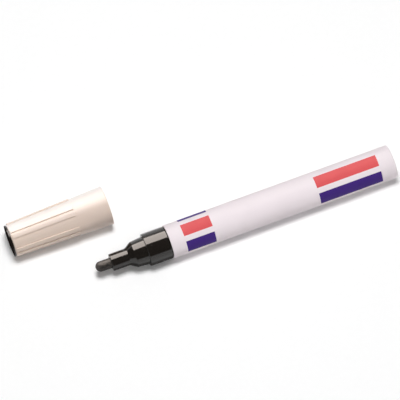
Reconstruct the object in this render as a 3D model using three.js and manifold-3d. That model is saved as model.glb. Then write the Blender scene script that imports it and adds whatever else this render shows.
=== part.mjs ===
// A valve-action paint marker lying on a table with its cap taken off and laid beside it.
// Millimetres, +Z up. Both axes run along X: the nib points to -X, the cap's mouth to +X.

import * as THREE from "three";
import { mergeVertices } from "three/addons/utils/BufferGeometryUtils.js";
import Module from "manifold-3d";

const wasm = await Module();
wasm.setup();

// Clearances
const pressGap = 0.1; // radial, between pieces that are pressed together
const seatGap = 0.1; // axial, between a piece and the shoulder that stops it
const slideGap = 0.15; // radial, round the pieces that slide
const restGap = 0.3; // between loose pieces and what carries them

// Facets round each kind of turned piece
const bodySides = 48;
const capSides = 50; // ten to each pair of ribs and the gap beside it
const smallSides = 24;
const stemSides = 16;
const filletSteps = 4;

// Nib
const nibProjection = 6.4;
const nibDiameter = 4.2;
const nibShankLength = 13.9; // inside the front section
const nibTailChamfer = 0.4;

// Front section, from its nose back to the barrel
const noseDiameter = 7.0;
const noseLength = 7.0;
const noseEdgeRadius = 0.4;
const throatRadius = 1.6; // hollow fillet where the nose runs into the cone
const coneLength = 2.7;
const collarFrontDiameter = 10.5;
const collarRearDiameter = 11.3;
const collarLength = 5.0;
const collarEdgeRadius = 0.5;
const capSeatDiameter = 13.3;
const capSeatLength = 9.7;
const capSeatEdgeRadius = 0.3;
const spigotLength = 9.0;
const spigotRelief = 0.25; // how far the spigot stands back between its sealing rings
const sealRingCount = 3;
const sealRingWidth = 1.0;

// Bores inside the front section
const nibBoreLength = 11.2;
const cupChamberDiameter = 7.2;
const cupChamberLength = 9.0;
const valveChamberDiameter = 9.8;

// Barrel, an impact-extruded aluminium tube with a closed end
const barrelDiameter = 13.8;
const barrelLength = 95.5;
const barrelWall = 0.5;
const barrelBase = 0.8;
const barrelRearRadius = 1.0;
const barrelMouthRadius = 0.2;

// Valve
const seatRingThickness = 1.5;
const seatRingBore = 4.0;
const plungerCupDiameter = 6.2;
const plungerCupLength = 4.2;
const plungerSocketDepth = 2.4;
const plungerStemDiameter = 2.6;
const valveHeadDiameter = 5.8;
const valveHeadThickness = 1.8;
const valveHeadBevel = 0.7;
const guidePinDiameter = 2.2;
const valveBodyWall = 0.9;
const valveBodyLength = 16.2;
const valveFlangeDiameter = 11.8;
const valveFlangeThickness = 1.0;
const retainerPlugLength = 1.4;
const retainerRimThickness = 0.8;
const inletHoleCount = 6;
const inletHoleDiameter = 1.3;
const inletCircleDiameter = 5.4;
const inletHoleSides = 8;

// Valve spring
const springWireDiameter = 0.5;
const springMeanDiameter = 4.4;
const springTurns = 7;
const springStepsPerTurn = 8;
const springWireSides = 5;

// Mixing ball, loose in the barrel
const ballDiameter = 7.0;
const ballRest = 70.0; // from the barrel's mouth to the ball's centre
const ballSides = 20;
const ballRings = 14;

// Cap
const capShellLength = 40.1;
const capEndDiameter = 13.6;
const capMouthDiameter = 15.9;
const capMouthEdge = 0.25;
const capSeatRunning = 0.1; // radial, between the cap's mouth and its seat on the section
const capMouthBoreLength = 10.5;
const capThroatLength = 0.8;
const capMiddleGap = 0.2; // radial, between the cap's middle bore and the section's collar
const linerRingThickness = 1.5;
const capEndWall = 1.4;
const ribPairs = 5;
const ribHeight = 0.3;
const ribStart = 0.0; // from the shell's closed end
const ribLength = 26.3;
const ribFacets = 2; // width of one rib, in facets of the cap
const ribPairGapFacets = 1; // gap inside a pair of ribs, in facets of the cap

// Inner cap, which seals on the section's nose
const linerRunning = 0.05;
const linerWall = 1.05;
const linerBase = 1.4;
const linerLead = 0.5; // how far its mouth stops short of the nose's root
const linerNibRoom = 1.1; // left in front of the nib's tip
const linerFlangeThickness = 1.2;

// End plug, which shows the ink's colour
const plugHeadDiameter = 13.0;
const plugRimLength = 1.3;
const plugDomeHeight = 0.7;
const plugDomeSteps = 4;
const plugSpigotWall = 1.2;

// Where the cap lies
const capSideways = 23.1; // between the two axes
const capMouthPastTip = 13.6; // how far the cap's mouth lies behind the nib's tip

// Stations along the marker, from the nib's tip
const noseFront = nibProjection;
const coneFront = noseFront + noseLength;
const collarFront = coneFront + coneLength;
const capSeatFront = collarFront + collarLength;
const barrelFront = capSeatFront + capSeatLength;
const barrelRear = barrelFront + barrelLength;
const spigotRear = barrelFront + spigotLength;
const cupChamberFront = noseFront + nibBoreLength;
const valveChamberFront = cupChamberFront + cupChamberLength;
const nibTail = noseFront + nibShankLength;

// Stations along the valve
const seatRingFront = valveChamberFront + seatGap;
const seatRingRear = seatRingFront + seatRingThickness;
const valveBodyFront = seatRingRear + seatGap;
const valveBodyRear = valveBodyFront + valveBodyLength;
const valveFlangeFront = spigotRear + seatGap;
const plungerCupFront = nibTail + restGap - plungerSocketDepth;
const plungerCupRear = plungerCupFront + plungerCupLength;
const valveHeadFront = seatRingRear + seatGap;
const valveHeadRear = valveHeadFront + valveHeadThickness;
const retainerFront = valveBodyRear - retainerPlugLength;
const retainerRimFront = valveBodyRear + seatGap;
const retainerRear = retainerRimFront + retainerRimThickness;
const guidePinRear = retainerFront + retainerPlugLength / 2;

// Radii of the bores
const barrelBoreRadius = barrelDiameter / 2 - barrelWall;
const nibBoreRadius = nibDiameter / 2 + slideGap;
const valveBodyRadius = valveChamberDiameter / 2 - pressGap;
const valveBodyBoreRadius = valveBodyRadius - valveBodyWall;
const linerBoreRadius = noseDiameter / 2 + linerRunning;
const linerRadius = linerBoreRadius + linerWall;
const capEndBoreRadius = capEndDiameter / 2 - capEndWall;

// Stations along the cap, from the shell's closed end towards the mouth
const mouthBoreFrom = capShellLength - capMouthBoreLength;
const middleBoreTo = mouthBoreFrom - capThroatLength;
const linerMouth = capShellLength - (barrelFront - coneFront) + linerLead;
const linerFloor = capShellLength - barrelFront - linerNibRoom;
const linerRear = linerFloor - linerBase;
const linerRingFrom = linerRear + linerFlangeThickness + seatGap;
const linerRingTo = linerRingFrom + linerRingThickness;

// Colours and finishes
const barrelPaint = { color: 0xe9e4e6, roughness: 0.32, metalness: 0.1 };
const blackPlastic = { color: 0x1b1917, roughness: 0.18, metalness: 0.0 };
const inkedFibre = { color: 0x2a2725, roughness: 0.75, metalness: 0.0 };
const capPlastic = { color: 0xf0ebe6, roughness: 0.35, metalness: 0.0 };
const linerPlastic = { color: 0xe8e6e0, roughness: 0.4, metalness: 0.0 };
const sealRubber = { color: 0x3a3a3c, roughness: 0.8, metalness: 0.0 };
const valvePlastic = { color: 0xe6e8ea, roughness: 0.45, metalness: 0.0 };
const springSteel = { color: 0xb4b7bb, roughness: 0.3, metalness: 1.0 };
const ballSteel = { color: 0xc8cacd, roughness: 0.15, metalness: 1.0 };

// A ring or a solid of revolution about X. The profile is a list of [station, radius]. It runs
// towards +X along the outside, and starts and ends on the axis or closes on itself.
function turned(profile, sides) {
  const points = profile.map(([station, radius]) => new THREE.Vector2(radius, station));
  const facetDown = Math.PI / sides;
  return new THREE.LatheGeometry(points, sides, facetDown).rotateZ(-Math.PI / 2);
}

// Points of an arc in a profile. Angles are in degrees from +X towards the outside.
function arc(station, radius, arcRadius, fromAngle, toAngle, steps) {
  const points = [];
  for (let step = 0; step <= steps; step += 1) {
    const angle = THREE.MathUtils.degToRad(fromAngle + ((toAngle - fromAngle) * step) / steps);
    points.push([station + arcRadius * Math.cos(angle), radius + arcRadius * Math.sin(angle)]);
  }
  return points;
}

// Joins a geometry's shared vertices and makes it a solid that can be cut.
function solidOf(geometry) {
  const bare = geometry.clone();
  bare.deleteAttribute("normal");
  bare.deleteAttribute("uv");
  const merged = mergeVertices(bare, 1e-4);
  const corners = merged.index.array;
  const triVerts = [];
  for (let i = 0; i < corners.length; i += 3) {
    const [a, b, c] = [corners[i], corners[i + 1], corners[i + 2]];
    if (a !== b && b !== c && a !== c) {
      triVerts.push(a, b, c);
    }
  }
  return new wasm.Manifold(
    new wasm.Mesh({
      numProp: 3,
      vertProperties: new Float32Array(merged.attributes.position.array),
      triVerts: new Uint32Array(triVerts),
    }),
  );
}

// Turns a solid back into a geometry.
function geometryOf(solid) {
  const mesh = solid.getMesh();
  const geometry = new THREE.BufferGeometry();
  geometry.setAttribute("position", new THREE.BufferAttribute(mesh.vertProperties, 3));
  geometry.setIndex(new THREE.BufferAttribute(mesh.triVerts, 1));
  geometry.computeVertexNormals();
  return geometry;
}

function piece(name, geometry, finish) {
  const mesh = new THREE.Mesh(geometry, new THREE.MeshStandardMaterial(finish));
  mesh.name = name;
  return mesh;
}

// Nib: a fibre bullet with a round tip, its tail in the plunger's cup.
function makeNib() {
  const radius = nibDiameter / 2;
  const profile = [
    ...arc(radius, 0, radius, 180, 90, 2 * filletSteps),
    [nibTail - nibTailChamfer, radius],
    [nibTail, radius - nibTailChamfer],
    [nibTail, 0],
  ];
  return piece("nib", turned(profile, smallSides), inkedFibre);
}

// Outside of the front section: nose, hollow throat and cone, collar, cap seat.
function sectionOutside() {
  const noseRadius = noseDiameter / 2;
  const collarRadius = collarFrontDiameter / 2;
  const rise = collarRadius - noseRadius;
  const coneAngle = THREE.MathUtils.radToDeg(Math.atan2(rise, coneLength));
  const throatReach = throatRadius * Math.tan(THREE.MathUtils.degToRad(coneAngle / 2));
  const collarReach = collarEdgeRadius * Math.tan(THREE.MathUtils.degToRad(coneAngle / 2));
  const throatCentre = noseRadius + throatRadius;
  const seatRadius = capSeatDiameter / 2;
  return [
    ...arc(
      noseFront + noseEdgeRadius, noseRadius - noseEdgeRadius, noseEdgeRadius, 180, 90, filletSteps,
    ),
    ...arc(
      coneFront - throatReach, throatCentre, throatRadius, -90, -90 + coneAngle, filletSteps,
    ),
    ...arc(
      collarFront + collarReach, collarRadius - collarEdgeRadius, collarEdgeRadius,
      90 + coneAngle, 90, filletSteps,
    ),
    [capSeatFront, collarRearDiameter / 2],
    ...arc(
      capSeatFront + capSeatEdgeRadius, seatRadius - capSeatEdgeRadius, capSeatEdgeRadius,
      180, 90, filletSteps,
    ),
    [barrelFront - seatGap, seatRadius],
  ];
}

// The spigot in the barrel's mouth: sealing rings with relieved stretches between them.
function spigotOutside() {
  const ringRadius = barrelBoreRadius - pressGap;
  const reliefRadius = ringRadius - spigotRelief;
  const from = barrelFront - seatGap;
  const pitch = (spigotRear - from - sealRingWidth) / sealRingCount;
  const points = [[from, reliefRadius]];
  for (let ring = 1; ring <= sealRingCount; ring += 1) {
    const ringFrom = from + ring * pitch;
    points.push([ringFrom - spigotRelief, reliefRadius]);
    points.push([ringFrom, ringRadius]);
    points.push([ringFrom + sealRingWidth - spigotRelief, ringRadius]);
    points.push([ringFrom + sealRingWidth, reliefRadius]);
  }
  return points;
}

// Front section: the black holder with stepped bores for the nib, the plunger's cup and the valve.
function makeFrontSection() {
  const inside = [
    [spigotRear, valveChamberDiameter / 2],
    [valveChamberFront, valveChamberDiameter / 2],
    [valveChamberFront, cupChamberDiameter / 2],
    [cupChamberFront, cupChamberDiameter / 2],
    [cupChamberFront, nibBoreRadius],
    [noseFront, nibBoreRadius],
  ];
  const outside = [...sectionOutside(), ...spigotOutside()];
  const profile = [...outside, ...inside, outside[0]];
  return piece("front_section", turned(profile, bodySides), blackPlastic);
}

// Barrel: a thin tube, closed and rounded at the rear, with a softened mouth.
function makeBarrel() {
  const radius = barrelDiameter / 2;
  const innerCorner = barrelRearRadius - barrelWall;
  const floor = barrelRear - barrelBase;
  const profile = [
    [barrelFront, barrelBoreRadius],
    ...arc(
      barrelFront + barrelMouthRadius, radius - barrelMouthRadius, barrelMouthRadius,
      180, 90, filletSteps / 2,
    ),
    ...arc(
      barrelRear - barrelRearRadius, radius - barrelRearRadius, barrelRearRadius, 90, 0, filletSteps,
    ),
    [barrelRear, 0],
    [floor, 0],
    ...arc(floor - innerCorner, barrelBoreRadius - innerCorner, innerCorner, 0, 90, filletSteps / 2),
    [barrelFront, barrelBoreRadius],
  ];
  return piece("barrel", turned(profile, bodySides), barrelPaint);
}

// Valve seat: the rubber ring that the plunger's head shuts against.
function makeValveSeat() {
  const outer = valveBodyRadius;
  const inner = seatRingBore / 2;
  const profile = [
    [seatRingFront, inner],
    [seatRingFront, outer],
    [seatRingRear, outer],
    [seatRingRear, inner],
    [seatRingFront, inner],
  ];
  return piece("valve_seat", turned(profile, smallSides), sealRubber);
}

// Plunger: cup for the nib's tail, stem through the seat, sealing head, guide pin.
function makeValvePlunger() {
  const cupRadius = plungerCupDiameter / 2;
  const socketRadius = nibDiameter / 2 + pressGap;
  const stemRadius = plungerStemDiameter / 2;
  const headRadius = valveHeadDiameter / 2;
  const pinRadius = guidePinDiameter / 2;
  const profile = [
    [nibTail + restGap, 0],
    [nibTail + restGap, socketRadius],
    [plungerCupFront, socketRadius],
    [plungerCupFront, cupRadius],
    [plungerCupRear - valveHeadBevel, cupRadius],
    [plungerCupRear, stemRadius],
    [valveHeadFront, stemRadius],
    [valveHeadFront, headRadius - valveHeadBevel],
    [valveHeadFront + valveHeadBevel, headRadius],
    [valveHeadRear, headRadius],
    [valveHeadRear, pinRadius],
    [guidePinRear, pinRadius],
    [guidePinRear, 0],
  ];
  return piece("valve_plunger", turned(profile, stemSides), valvePlastic);
}

// Valve body: the tube round the spring, stopped by its flange at the spigot's end.
function makeValveBody() {
  const flangeRadius = valveFlangeDiameter / 2;
  const flangeRear = valveFlangeFront + valveFlangeThickness;
  const profile = [
    [valveBodyFront, valveBodyBoreRadius],
    [valveBodyFront, valveBodyRadius],
    [valveFlangeFront, valveBodyRadius],
    [valveFlangeFront, flangeRadius],
    [flangeRear, flangeRadius],
    [flangeRear, valveBodyRadius],
    [valveBodyRear, valveBodyRadius],
    [valveBodyRear, valveBodyBoreRadius],
    [valveBodyFront, valveBodyBoreRadius],
  ];
  return piece("valve_body", turned(profile, smallSides), valvePlastic);
}

// Spring retainer: a plug in the valve body's end with a guide hole and a ring of ink inlets.
function makeSpringRetainer() {
  const plugRadius = valveBodyBoreRadius - pressGap;
  const guideRadius = guidePinDiameter / 2 + slideGap;
  const profile = [
    [retainerFront, guideRadius],
    [retainerFront, plugRadius],
    [retainerRimFront, plugRadius],
    [retainerRimFront, valveBodyRadius],
    [retainerRear, valveBodyRadius],
    [retainerRear, guideRadius],
    [retainerFront, guideRadius],
  ];
  let solid = solidOf(turned(profile, smallSides));
  const drillLength = 2 * (retainerRear - retainerFront);
  for (let hole = 0; hole < inletHoleCount; hole += 1) {
    const angle = (2 * Math.PI * hole) / inletHoleCount;
    const drill = new THREE.CylinderGeometry(
      inletHoleDiameter / 2, inletHoleDiameter / 2, drillLength, inletHoleSides,
    );
    drill.rotateZ(Math.PI / 2);
    drill.translate(
      retainerFront,
      (inletCircleDiameter / 2) * Math.sin(angle),
      (inletCircleDiameter / 2) * Math.cos(angle),
    );
    solid = solid.subtract(solidOf(drill));
  }
  return piece("spring_retainer", geometryOf(solid), valvePlastic);
}

// Centre line of the valve spring.
class SpringLine extends THREE.Curve {
  getPoint(t) {
    const clear = restGap + springWireDiameter / 2;
    const from = valveHeadRear + clear;
    const length = retainerFront - clear - from;
    const angle = 2 * Math.PI * springTurns * t;
    const radius = springMeanDiameter / 2;
    return new THREE.Vector3(from + length * t, radius * Math.sin(angle), radius * Math.cos(angle));
  }
}

// Least clear distance between two turns of the spring.
function springTurnGap(line) {
  const points = line.getPoints(springTurns * springStepsPerTurn);
  let least = Infinity;
  for (let i = 0; i < points.length; i += 1) {
    for (let j = i + springStepsPerTurn / 2; j < points.length; j += 1) {
      least = Math.min(least, points[i].distanceTo(points[j]));
    }
  }
  return least - springWireDiameter;
}

// Valve spring: one unbroken wire wound round the plunger's guide pin.
function makeValveSpring() {
  const line = new SpringLine();
  const outline = [];
  for (let side = 0; side < springWireSides; side += 1) {
    const angle = (2 * Math.PI * side) / springWireSides;
    outline.push(
      new THREE.Vector2(Math.cos(angle), Math.sin(angle)).multiplyScalar(springWireDiameter / 2),
    );
  }
  const geometry = new THREE.ExtrudeGeometry(new THREE.Shape(outline), {
    steps: springTurns * springStepsPerTurn,
    extrudePath: line,
  });
  console.log("Valve spring, least gap between turns: " + springTurnGap(line).toFixed(2) + " mm");
  return piece("valve_spring", geometry, springSteel);
}

// Mixing ball, lying on the barrel's inner wall.
function makeMixingBall() {
  const ball = piece(
    "mixing_ball", new THREE.SphereGeometry(ballDiameter / 2, ballSides, ballRings), ballSteel,
  );
  const floorDepth = barrelBoreRadius * Math.cos(Math.PI / bodySides);
  ball.position.set(barrelFront + ballRest, 0, ballDiameter / 2 + restGap - floorDepth);
  return ball;
}

// Radius of the cap's outside at a station, without its ribs.
function capRadiusAt(station) {
  return THREE.MathUtils.lerp(capEndDiameter, capMouthDiameter, station / capShellLength) / 2;
}

// Cross-section that spans the pairs of ribs, cut along lines from the axis.
function ribFan(reach) {
  const facet = (2 * Math.PI) / capSides;
  const pairFacets = 2 * ribFacets + ribPairGapFacets;
  const shapes = [];
  for (let pair = 0; pair < ribPairs; pair += 1) {
    const gapCentre = (2 * Math.PI * (pair + 0.5)) / ribPairs;
    const pairFrom = gapCentre - (pairFacets * facet) / 2;
    for (const offset of [0, ribFacets + ribPairGapFacets]) {
      const from = pairFrom + offset * facet;
      const to = from + ribFacets * facet;
      shapes.push(
        new THREE.Shape([
          new THREE.Vector2(0, 0),
          new THREE.Vector2(Math.cos(from), Math.sin(from)).multiplyScalar(reach),
          new THREE.Vector2(Math.cos(to), Math.sin(to)).multiplyScalar(reach),
        ]),
      );
    }
  }
  return shapes;
}

// Ribs: pairs of bars that follow the cap's taper, with the first wide gap facing down.
function capRibs() {
  const from = ribStart;
  const to = ribStart + ribLength;
  const crest = turned(
    [
      [from, 0],
      [from, capRadiusAt(from) + ribHeight],
      [to, capRadiusAt(to) + ribHeight],
      [to, 0],
    ],
    capSides,
  );
  const crestSolid = solidOf(crest);
  let ribs = null;
  for (const shape of ribFan(capMouthDiameter)) {
    const wedge = new THREE.ExtrudeGeometry(shape, {
      depth: capShellLength,
      steps: 1,
      bevelEnabled: false,
    });
    // The fan's zero angle turns to face down, and its depth to run along the cap.
    wedge.rotateY(Math.PI / 2);
    const rib = crestSolid.intersect(solidOf(wedge));
    ribs = ribs ? ribs.add(rib) : rib;
  }
  return ribs;
}

// Cap shell: a tapered, ribbed tube with a wide mouth and a ring inside that carries the liner.
function makeCapShell() {
  const mouthRadius = capMouthDiameter / 2;
  const body = turned(
    [
      [0, 0],
      [0, capEndDiameter / 2],
      [capShellLength - capMouthEdge, capRadiusAt(capShellLength - capMouthEdge)],
      [capShellLength, mouthRadius - capMouthEdge],
      [capShellLength, 0],
    ],
    capSides,
  );
  const mouthBore = capSeatDiameter / 2 + capSeatRunning;
  const middleBore = collarRearDiameter / 2 + capMiddleGap;
  const ringBore = linerRadius + pressGap;
  const bore = turned(
    [
      [-capEndWall, 0],
      [-capEndWall, capEndBoreRadius],
      [linerRingFrom, capEndBoreRadius],
      [linerRingFrom, ringBore],
      [linerRingTo, ringBore],
      [linerRingTo, middleBore],
      [middleBoreTo, middleBore],
      [mouthBoreFrom, mouthBore],
      [capShellLength + capEndWall, mouthBore],
      [capShellLength + capEndWall, 0],
    ],
    capSides,
  );
  const solid = solidOf(body).add(capRibs()).subtract(solidOf(bore));
  return piece("cap_shell", geometryOf(solid), capPlastic);
}

// Inner cap: a closed liner whose flange is held against the ring in the shell.
function makeInnerCap() {
  const flangeRadius = capEndBoreRadius - pressGap;
  const flangeTo = linerRear + linerFlangeThickness;
  const profile = [
    [linerRear, 0],
    [linerRear, flangeRadius],
    [flangeTo, flangeRadius],
    [flangeTo, linerRadius],
    [linerMouth, linerRadius],
    [linerMouth, linerBoreRadius],
    [linerFloor, linerBoreRadius],
    [linerFloor, 0],
  ];
  return piece("inner_cap", turned(profile, capSides), linerPlastic);
}

// End plug: a domed head and a hollow spigot that holds the inner cap in.
function makeCapEndPlug() {
  const headRadius = plugHeadDiameter / 2;
  const spigotRadius = capEndBoreRadius - pressGap;
  const headRear = -seatGap;
  const rimFront = headRear - plugRimLength;
  const dome = [];
  for (let step = 0; step <= plugDomeSteps; step += 1) {
    const angle = (Math.PI / 2) * (step / plugDomeSteps);
    const station = rimFront - plugDomeHeight * Math.cos(angle);
    dome.push([station, headRadius * Math.sin(angle)]);
  }
  const profile = [
    ...dome,
    [headRear, headRadius],
    [headRear, spigotRadius],
    [linerRear - seatGap, spigotRadius],
    [linerRear - seatGap, spigotRadius - plugSpigotWall],
    [headRear, spigotRadius - plugSpigotWall],
    [headRear, 0],
  ];
  return piece("cap_end_plug", turned(profile, capSides), blackPlastic);
}

// Lowers or lifts a group until its lowest point is at table height.
function layDown(group) {
  group.position.z -= new THREE.Box3().setFromObject(group, true).min.z;
  return group;
}

// The marker, lying on its barrel's lowest facet.
function makeMarker() {
  const marker = new THREE.Group();
  marker.add(makeBarrel(), makeFrontSection(), makeNib());
  marker.add(makeValveSeat(), makeValvePlunger(), makeValveSpring());
  marker.add(makeValveBody(), makeSpringRetainer(), makeMixingBall());
  return layDown(marker);
}

// The cap, tipped by its own taper so that it lies on its lowest facet.
function makeCap() {
  const cap = new THREE.Group();
  cap.add(makeCapShell(), makeInnerCap(), makeCapEndPlug());
  const facetDepth = Math.cos(Math.PI / capSides);
  const slope = (facetDepth * (capMouthDiameter - capEndDiameter)) / 2 / capShellLength;
  const tilt = Math.atan(slope);
  cap.rotation.y = -tilt;
  cap.position.set(capMouthPastTip - capShellLength * Math.cos(tilt), capSideways, 0);
  return layDown(cap);
}

const layout = new THREE.Group();
layout.add(makeMarker(), makeCap());

// The origin is the middle of the whole outline, at table height.
const extent = new THREE.Box3().setFromObject(layout, true);
const middle = extent.getCenter(new THREE.Vector3());
layout.position.set(-middle.x, -middle.y, -extent.min.z);

const part = new THREE.Group();
part.add(layout);

export default part;
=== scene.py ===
"""Models and lights a valve-action paint marker that lies on a white table beside its cap.

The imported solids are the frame: they give each piece its place and its body. Every piece is modelled
again here in fine detail, gets its finish, and stands for the solid of the same name. Lengths in the
sub-assemblies are millimetres, stations run along +X, and angles round an axis run from +Y through +Z.
"""

import logging
import math
from collections.abc import Callable, Iterator, Sequence
from contextlib import contextmanager
from dataclasses import dataclass, field
from enum import Enum

import bpy
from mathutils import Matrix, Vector


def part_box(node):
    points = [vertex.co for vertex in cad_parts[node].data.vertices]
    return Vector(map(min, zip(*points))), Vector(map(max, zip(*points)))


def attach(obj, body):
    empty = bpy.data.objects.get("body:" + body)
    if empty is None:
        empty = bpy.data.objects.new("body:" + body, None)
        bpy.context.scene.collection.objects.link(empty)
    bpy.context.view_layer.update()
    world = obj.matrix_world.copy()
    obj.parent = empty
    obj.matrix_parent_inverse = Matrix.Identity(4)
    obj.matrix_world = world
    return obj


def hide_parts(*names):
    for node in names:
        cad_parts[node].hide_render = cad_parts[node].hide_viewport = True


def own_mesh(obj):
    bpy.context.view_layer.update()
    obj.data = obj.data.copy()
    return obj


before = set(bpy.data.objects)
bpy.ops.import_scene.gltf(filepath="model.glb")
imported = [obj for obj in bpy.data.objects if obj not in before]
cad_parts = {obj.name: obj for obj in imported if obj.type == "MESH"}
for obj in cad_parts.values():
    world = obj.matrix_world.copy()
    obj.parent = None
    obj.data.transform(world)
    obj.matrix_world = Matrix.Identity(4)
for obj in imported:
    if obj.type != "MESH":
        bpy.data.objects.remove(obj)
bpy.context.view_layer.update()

LOG = logging.getLogger("marker")
SINE_DIGITS = 12

MILLIMETRE = 0.001
TURN = 2 * math.pi
ARC_STEP = math.radians(7.5)
ARC_LEAST_STEPS = 3
WELD = 1e-6
NO_LENGTH = 1e-7
SMOOTH_ANGLE = math.radians(32)
WHITE = (1.0, 1.0, 1.0, 1.0)
BLACK = (0.0, 0.0, 0.0, 1.0)

Colour = tuple[int, int, int]
Shade = tuple[float, float, float, float]
Reach = tuple[float, float]
Stretch = tuple[float, float, float]
Piece = bpy.types.Object
Socket = bpy.types.NodeSocket


def mm(length: float) -> float:
    """Returns a length in millimetres in Blender's metres."""
    return length * MILLIMETRE


def linear(colour: Colour) -> Shade:
    """Returns a colour of a screen, in parts of 255, as a shader's, in parts of 1 and with alpha."""
    shares = [part / 255 for part in colour]
    return (*(x / 12.92 if x <= 0.04045 else ((x + 0.055) / 1.055) ** 2.4 for x in shares), 1.0)


def flat(sides: int, size: float) -> float:
    """Returns the size of a solid with so many sides across the middle of its facets."""
    return size * math.cos(math.pi / sides)


def shaded(colour: Colour, share: float) -> Colour:
    """Returns a colour made darker, with a share below 1, or lighter, with one above 1."""
    return tuple(min(255, round(part * share)) for part in colour)


# Modelling


# A corner of an outline: its station, its distance from the axis and, if it is rounded, its radius.
Corner = tuple[float, ...]


def rounded(corners: Sequence[Corner]) -> list[Vector]:
    """Replaces each rounded corner by an arc.

    Args:
        corners: the corners in order. A closed outline ends where it starts.

    Returns:
        The outline's points in metres, in the plane of X and Y.
    """
    places = [Vector((mm(corner[0]), mm(corner[1]), 0.0)) for corner in corners]
    points: list[Vector] = []
    for index, here in enumerate(places):
        if len(corners[index]) == 2:
            points.append(here)
            continue
        radius = mm(corners[index][2])
        back = (places[index - 1] - here).normalized()
        ahead = (places[index + 1] - here).normalized()
        half = back.angle(ahead) / 2
        centre = here + (back + ahead).normalized() * radius / math.sin(half)
        first = here + back * radius / math.tan(half) - centre
        last = here + ahead * radius / math.tan(half) - centre
        sweep = first.angle(last)
        steps = max(ARC_LEAST_STEPS, math.ceil(sweep / ARC_STEP))
        for step in range(steps + 1):
            share = step / steps
            spoke = first * math.sin((1 - share) * sweep) + last * math.sin(share * sweep)
            points.append(centre + spoke / math.sin(sweep))
    pairs = zip(points, points[1:])
    return points[:1] + [point for before, point in pairs if (point - before).length > NO_LENGTH]


def only(piece: Piece) -> None:
    """Makes a piece the active object and the only one selected.

    Args:
        piece: the piece.
    """
    bpy.ops.object.select_all(action="DESELECT")
    piece.select_set(True)
    bpy.context.view_layer.objects.active = piece


@contextmanager
def editing(piece: Piece, select: str | None = "SELECT") -> Iterator[None]:
    """Opens a piece in edit mode and closes it again.

    Args:
        piece: the piece.
        select: how all its parts are set at first, or None to leave them.

    Yields:
        Nothing: the piece is open meanwhile.
    """
    only(piece)
    bpy.ops.object.mode_set(mode="EDIT")
    if select:
        bpy.ops.mesh.select_all(action=select)
    yield
    bpy.ops.object.mode_set(mode="OBJECT")


def select_faces(piece: Piece, wanted: Callable[[Vector, Vector], bool]) -> None:
    """Selects faces of a piece.

    Args:
        piece: the piece.
        wanted: whether a face with this centre and this normal is selected.
    """
    with editing(piece, "DESELECT"):
        bpy.ops.mesh.select_mode(type="FACE")
    for face in piece.data.polygons:
        face.select = wanted(face.center, face.normal)


def named(name: str) -> Piece:
    """Gives the object that was just made a name, and returns it."""
    bpy.context.object.name = bpy.context.object.data.name = name
    return bpy.context.object


def drawn(name: str, points: Sequence[Vector]) -> Piece:
    """Draws an outline: a plane is merged to one vertex, which is extruded from point to point.

    Args:
        name: the piece's name.
        points: the outline's points in metres.

    Returns:
        The new piece, without faces yet.
    """
    bpy.ops.mesh.primitive_plane_add(size=mm(1.0))
    piece = named(name)
    with editing(piece):
        bpy.ops.mesh.select_mode(type="VERT")
        bpy.ops.mesh.merge(type="CENTER")
        bpy.ops.transform.translate(value=points[0])
        for before, point in zip(points, points[1:]):
            bpy.ops.mesh.extrude_region_move(TRANSFORM_OT_translate={"value": point - before})
    return piece


def welded(piece: Piece) -> Piece:
    """Merges doubled vertices, points all faces outwards and smooths the round ones.

    Args:
        piece: the piece.

    Returns:
        The same piece.
    """
    with editing(piece):
        bpy.ops.mesh.remove_doubles(threshold=WELD)
        bpy.ops.mesh.normals_make_consistent(inside=False)
    bpy.ops.object.shade_smooth_by_angle(angle=SMOOTH_ANGLE)
    return piece


def spun(piece: Piece, steps: int, angle: float = TURN) -> Piece:
    """Spins a drawn outline round X and welds what comes of it.

    Args:
        piece: the outline.
        steps: how many steps the turn has.
        angle: how far it is spun, in radians.

    Returns:
        The same piece.
    """
    with editing(piece):
        bpy.ops.mesh.spin(steps=steps, angle=angle, center=(0, 0, 0), axis=(1, 0, 0))
    return welded(piece)


def turned(name: str, steps: int, *outline: Corner) -> Piece:
    """Returns a piece turned round X from an outline, which is closed if it starts off the axis."""
    closed = [*outline, outline[0]] if outline[0][1] else outline
    return spun(drawn(name, rounded(closed)), steps)


def apply_modifier(piece: Piece, kind: str, **settings: object) -> None:
    """Adds a modifier to a piece, sets it up and applies it.

    Args:
        piece: the piece.
        kind: the modifier's type, in Blender's capitals.
        settings: its values by name.
    """
    only(piece)
    modifier = piece.modifiers.new(kind.title(), kind)
    for setting, value in settings.items():
        setattr(modifier, setting, value)
    bpy.ops.object.modifier_apply(modifier=modifier.name)


# Finishes


class Slot(Enum):
    """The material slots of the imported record."""

    ENAMEL = "barrel_enamel"
    BLACK = "black_plastic"
    FIBRE = "nib_fibre"
    RUBBER = "seal_rubber"
    VALVE = "valve_plastic"
    SPRING = "spring_steel"
    BALL = "ball_steel"
    CAP = "cap_plastic"
    LINER = "liner_plastic"


MIDDLE = (0.35, 0.65)


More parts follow.
